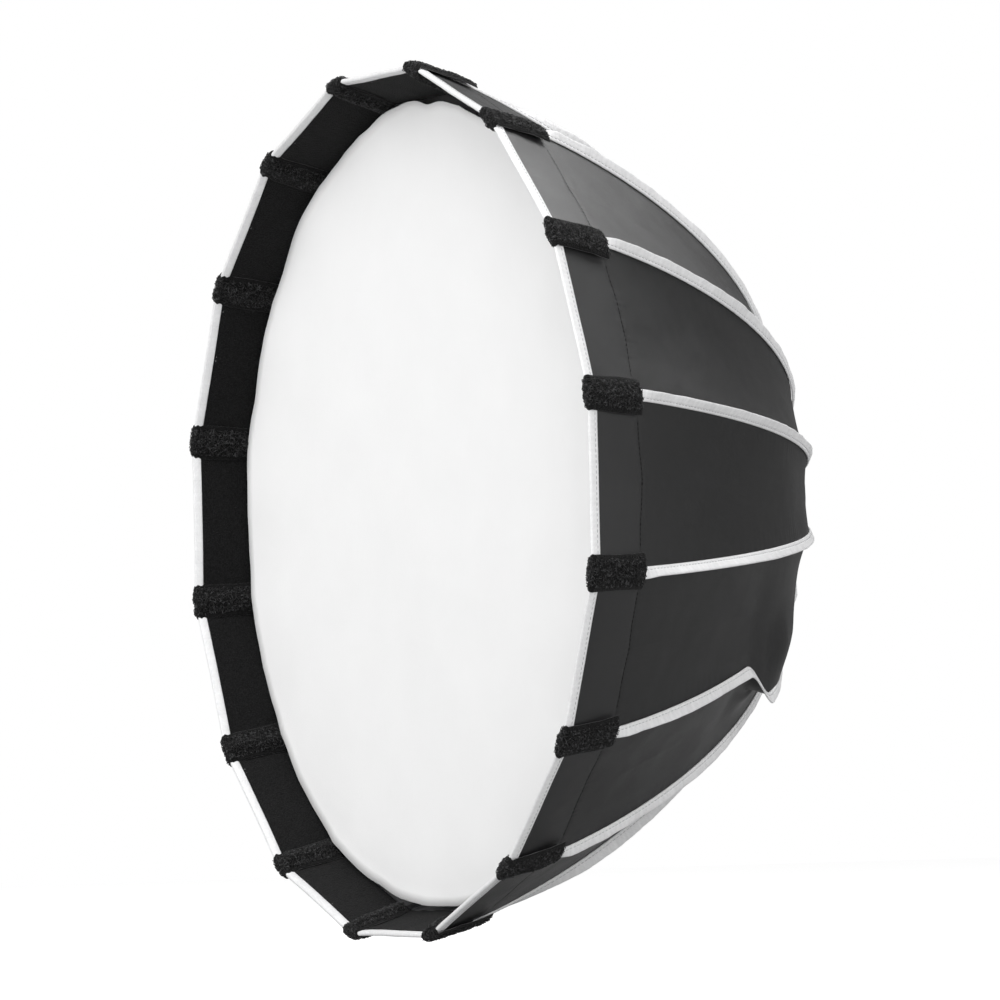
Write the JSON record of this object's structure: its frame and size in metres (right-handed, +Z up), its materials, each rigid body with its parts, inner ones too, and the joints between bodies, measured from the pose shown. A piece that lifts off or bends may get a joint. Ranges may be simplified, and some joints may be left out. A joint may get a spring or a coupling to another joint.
{
  "type": "octabox",
  "caption": "Quick-opening deep octabox: sprung ribs hinged on a speedring under a black cover, with recessed white diffusers.",
  "frame": {"origin": "on the optical axis, at the face of the bayonet adapter that the light head seats against", "axes": "+Y along the optical axis towards the light head, so the rim and the diffusers face -Y; +Z up; +X completes the right-handed set"},
  "size_m": [0.5884, 0.2941, 0.5884],
  "materials": {
    "hub_black": "fine textured black",
    "adapter_metal": "satin",
    "spring_steel": "satin",
    "collar_metal": "satin",
    "button_grey": "satin",
    "diffuser_cloth": "matte white translucent cloth",
    "rod_steel": "satin",
    "cover_cloth": "black satin-weave nylon, silver inside"
  },
  "bodies": {
    "speedring": {"speedring_housing": "hub_black", "ring_cover": "hub_black", "bayonet_adapter": "adapter_metal", "hinge_wire": "spring_steel", "release_spring_left": "spring_steel", "release_spring_right": "spring_steel"},
    "lock_collar": {"lock_collar": "collar_metal"},
    "release_button_left": {"release_button_left": "button_grey"},
    "release_button_right": {"release_button_right": "button_grey"},
    "inner_diffuser": {"inner_diffuser": "diffuser_cloth"},
    "front_diffuser": {"front_diffuser": "diffuser_cloth"},
    "rib_01": {"rod_01": "rod_steel", "rod_holder_01": "hub_black", "canopy_gore_01": "cover_cloth"},
    "rib_02": {"rod_02": "rod_steel", "rod_holder_02": "hub_black", "canopy_gore_02": "cover_cloth"},
    "rib_03": {"rod_03": "rod_steel", "rod_holder_03": "hub_black", "canopy_gore_03": "cover_cloth"},
    "rib_04": {"rod_04": "rod_steel", "rod_holder_04": "hub_black", "canopy_gore_04": "cover_cloth"},
    "rib_05": {"rod_05": "rod_steel", "rod_holder_05": "hub_black", "canopy_gore_05": "cover_cloth"},
    "rib_06": {"rod_06": "rod_steel", "rod_holder_06": "hub_black", "canopy_gore_06": "cover_cloth"},
    "rib_07": {"rod_07": "rod_steel", "rod_holder_07": "hub_black", "canopy_gore_07": "cover_cloth"},
    "rib_08": {"rod_08": "rod_steel", "rod_holder_08": "hub_black", "canopy_gore_08": "cover_cloth"},
    "rib_09": {"rod_09": "rod_steel", "rod_holder_09": "hub_black", "canopy_gore_09": "cover_cloth"},
    "rib_10": {"rod_10": "rod_steel", "rod_holder_10": "hub_black", "canopy_gore_10": "cover_cloth"},
    "rib_11": {"rod_11": "rod_steel", "rod_holder_11": "hub_black", "canopy_gore_11": "cover_cloth"},
    "rib_12": {"rod_12": "rod_steel", "rod_holder_12": "hub_black", "canopy_gore_12": "cover_cloth"},
    "rib_13": {"rod_13": "rod_steel", "rod_holder_13": "hub_black", "canopy_gore_13": "cover_cloth"},
    "rib_14": {"rod_14": "rod_steel", "rod_holder_14": "hub_black", "canopy_gore_14": "cover_cloth"},
    "rib_15": {"rod_15": "rod_steel", "rod_holder_15": "hub_black", "canopy_gore_15": "cover_cloth"},
    "rib_16": {"rod_16": "rod_steel", "rod_holder_16": "hub_black", "canopy_gore_16": "cover_cloth"}
  },
  "joints": [
    {"name": "rib_01_fold", "type": "hinge", "parent": "speedring", "child": "rib_01", "pos_m": [0.07846, -0.018, 0.01561], "axis": [0.1951, 0, -0.9808], "range_deg": [0, 39], "deforming": ["canopy_gore_01"]},
    {"name": "rib_02_fold", "type": "hinge", "parent": "speedring", "child": "rib_02", "pos_m": [0.06652, -0.018, 0.04445], "axis": [0.5556, 0, -0.8315], "range_deg": [0, 39], "deforming": ["canopy_gore_02"]},
    {"name": "rib_03_fold", "type": "hinge", "parent": "speedring", "child": "rib_03", "pos_m": [0.04445, -0.018, 0.06652], "axis": [0.8315, 0, -0.5556], "range_deg": [0, 39], "deforming": ["canopy_gore_03"]},
    {"name": "rib_04_fold", "type": "hinge", "parent": "speedring", "child": "rib_04", "pos_m": [0.01561, -0.018, 0.07846], "axis": [0.9808, 0, -0.1951], "range_deg": [0, 39], "deforming": ["canopy_gore_04"]},
    {"name": "rib_05_fold", "type": "hinge", "parent": "speedring", "child": "rib_05", "pos_m": [-0.01561, -0.018, 0.07846], "axis": [0.9808, 0, 0.1951], "range_deg": [0, 39], "deforming": ["canopy_gore_05"]},
    {"name": "rib_06_fold", "type": "hinge", "parent": "speedring", "child": "rib_06", "pos_m": [-0.04445, -0.018, 0.06652], "axis": [0.8315, 0, 0.5556], "range_deg": [0, 39], "deforming": ["canopy_gore_06"]},
    {"name": "rib_07_fold", "type": "hinge", "parent": "speedring", "child": "rib_07", "pos_m": [-0.06652, -0.018, 0.04445], "axis": [0.5556, 0, 0.8315], "range_deg": [0, 39], "deforming": ["canopy_gore_07"]},
    {"name": "rib_08_fold", "type": "hinge", "parent": "speedring", "child": "rib_08", "pos_m": [-0.07846, -0.018, 0.01561], "axis": [0.1951, 0, 0.9808], "range_deg": [0, 39], "deforming": ["canopy_gore_08"]},
    {"name": "rib_09_fold", "type": "hinge", "parent": "speedring", "child": "rib_09", "pos_m": [-0.07846, -0.018, -0.01561], "axis": [-0.1951, 0, 0.9808], "range_deg": [0, 39], "deforming": ["canopy_gore_09"]},
    {"name": "rib_10_fold", "type": "hinge", "parent": "speedring", "child": "rib_10", "pos_m": [-0.06652, -0.018, -0.04445], "axis": [-0.5556, 0, 0.8315], "range_deg": [0, 39], "deforming": ["canopy_gore_10"]},
    {"name": "rib_11_fold", "type": "hinge", "parent": "speedring", "child": "rib_11", "pos_m": [-0.04445, -0.018, -0.06652], "axis": [-0.8315, 0, 0.5556], "range_deg": [0, 39], "deforming": ["canopy_gore_11"]},
    {"name": "rib_12_fold", "type": "hinge", "parent": "speedring", "child": "rib_12", "pos_m": [-0.01561, -0.018, -0.07846], "axis": [-0.9808, 0, 0.1951], "range_deg": [0, 39], "deforming": ["canopy_gore_12"]},
    {"name": "rib_13_fold", "type": "hinge", "parent": "speedring", "child": "rib_13", "pos_m": [0.01561, -0.018, -0.07846], "axis": [-0.9808, 0, -0.1951], "range_deg": [0, 39], "deforming": ["canopy_gore_13"]},
    {"name": "rib_14_fold", "type": "hinge", "parent": "speedring", "child": "rib_14", "pos_m": [0.04445, -0.018, -0.06652], "axis": [-0.8315, 0, -0.5556], "range_deg": [0, 39], "deforming": ["canopy_gore_14"]},
    {"name": "rib_15_fold", "type": "hinge", "parent": "speedring", "child": "rib_15", "pos_m": [0.06652, -0.018, -0.04445], "axis": [-0.5556, 0, -0.8315], "range_deg": [0, 39], "deforming": ["canopy_gore_15"]},
    {"name": "rib_16_fold", "type": "hinge", "parent": "speedring", "child": "rib_16", "pos_m": [0.07846, -0.018, -0.01561], "axis": [-0.1951, 0, -0.9808], "range_deg": [0, 39], "deforming": ["canopy_gore_16"]},
    {"name": "collar_slide", "type": "slide", "parent": "speedring", "child": "lock_collar", "axis": [0, 1, 0], "range_m": [0, 0.0094]},
    {"name": "front_diffuser_off", "type": "slide", "parent": "speedring", "child": "front_diffuser", "axis": [0, -1, 0], "range_m": [0, 0.58]},
    {"name": "inner_diffuser_off", "type": "slide", "parent": "speedring", "child": "inner_diffuser", "axis": [0, -1, 0], "range_m": [0, 0.41]},
    {"name": "button_left_press", "type": "slide", "parent": "speedring", "child": "release_button_left", "axis": [0, -1, 0], "range_m": [0, 0.003], "stiffness_N_per_m": 400, "springref_m": -0.001, "deforming": ["release_spring_left"]},
    {"name": "button_right_press", "type": "slide", "parent": "speedring", "child": "release_button_right", "axis": [0, -1, 0], "range_m": [0, 0.003], "stiffness_N_per_m": 400, "springref_m": -0.001, "deforming": ["release_spring_right"]}
  ],
  "couplings": [
    {"joint": "rib_02_fold", "follows": "rib_01_fold", "ratio": 1},
    {"joint": "rib_03_fold", "follows": "rib_01_fold", "ratio": 1},
    {"joint": "rib_04_fold", "follows": "rib_01_fold", "ratio": 1},
    {"joint": "rib_05_fold", "follows": "rib_01_fold", "ratio": 1},
    {"joint": "rib_06_fold", "follows": "rib_01_fold", "ratio": 1},
    {"joint": "rib_07_fold", "follows": "rib_01_fold", "ratio": 1},
    {"joint": "rib_08_fold", "follows": "rib_01_fold", "ratio": 1},
    {"joint": "rib_09_fold", "follows": "rib_01_fold", "ratio": 1},
    {"joint": "rib_10_fold", "follows": "rib_01_fold", "ratio": 1},
    {"joint": "rib_11_fold", "follows": "rib_01_fold", "ratio": 1},
    {"joint": "rib_12_fold", "follows": "rib_01_fold", "ratio": 1},
    {"joint": "rib_13_fold", "follows": "rib_01_fold", "ratio": 1},
    {"joint": "rib_14_fold", "follows": "rib_01_fold", "ratio": 1},
    {"joint": "rib_15_fold", "follows": "rib_01_fold", "ratio": 1},
    {"joint": "rib_16_fold", "follows": "rib_01_fold", "ratio": 1},
    {"joint": "collar_slide", "follows": "rib_01_fold", "m_per_rad": 0.01373},
    {"joint": "front_diffuser_off", "follows": "rib_01_fold", "m_per_rad": 0.85},
    {"joint": "inner_diffuser_off", "follows": "rib_01_fold", "m_per_rad": 0.6}
  ]
}
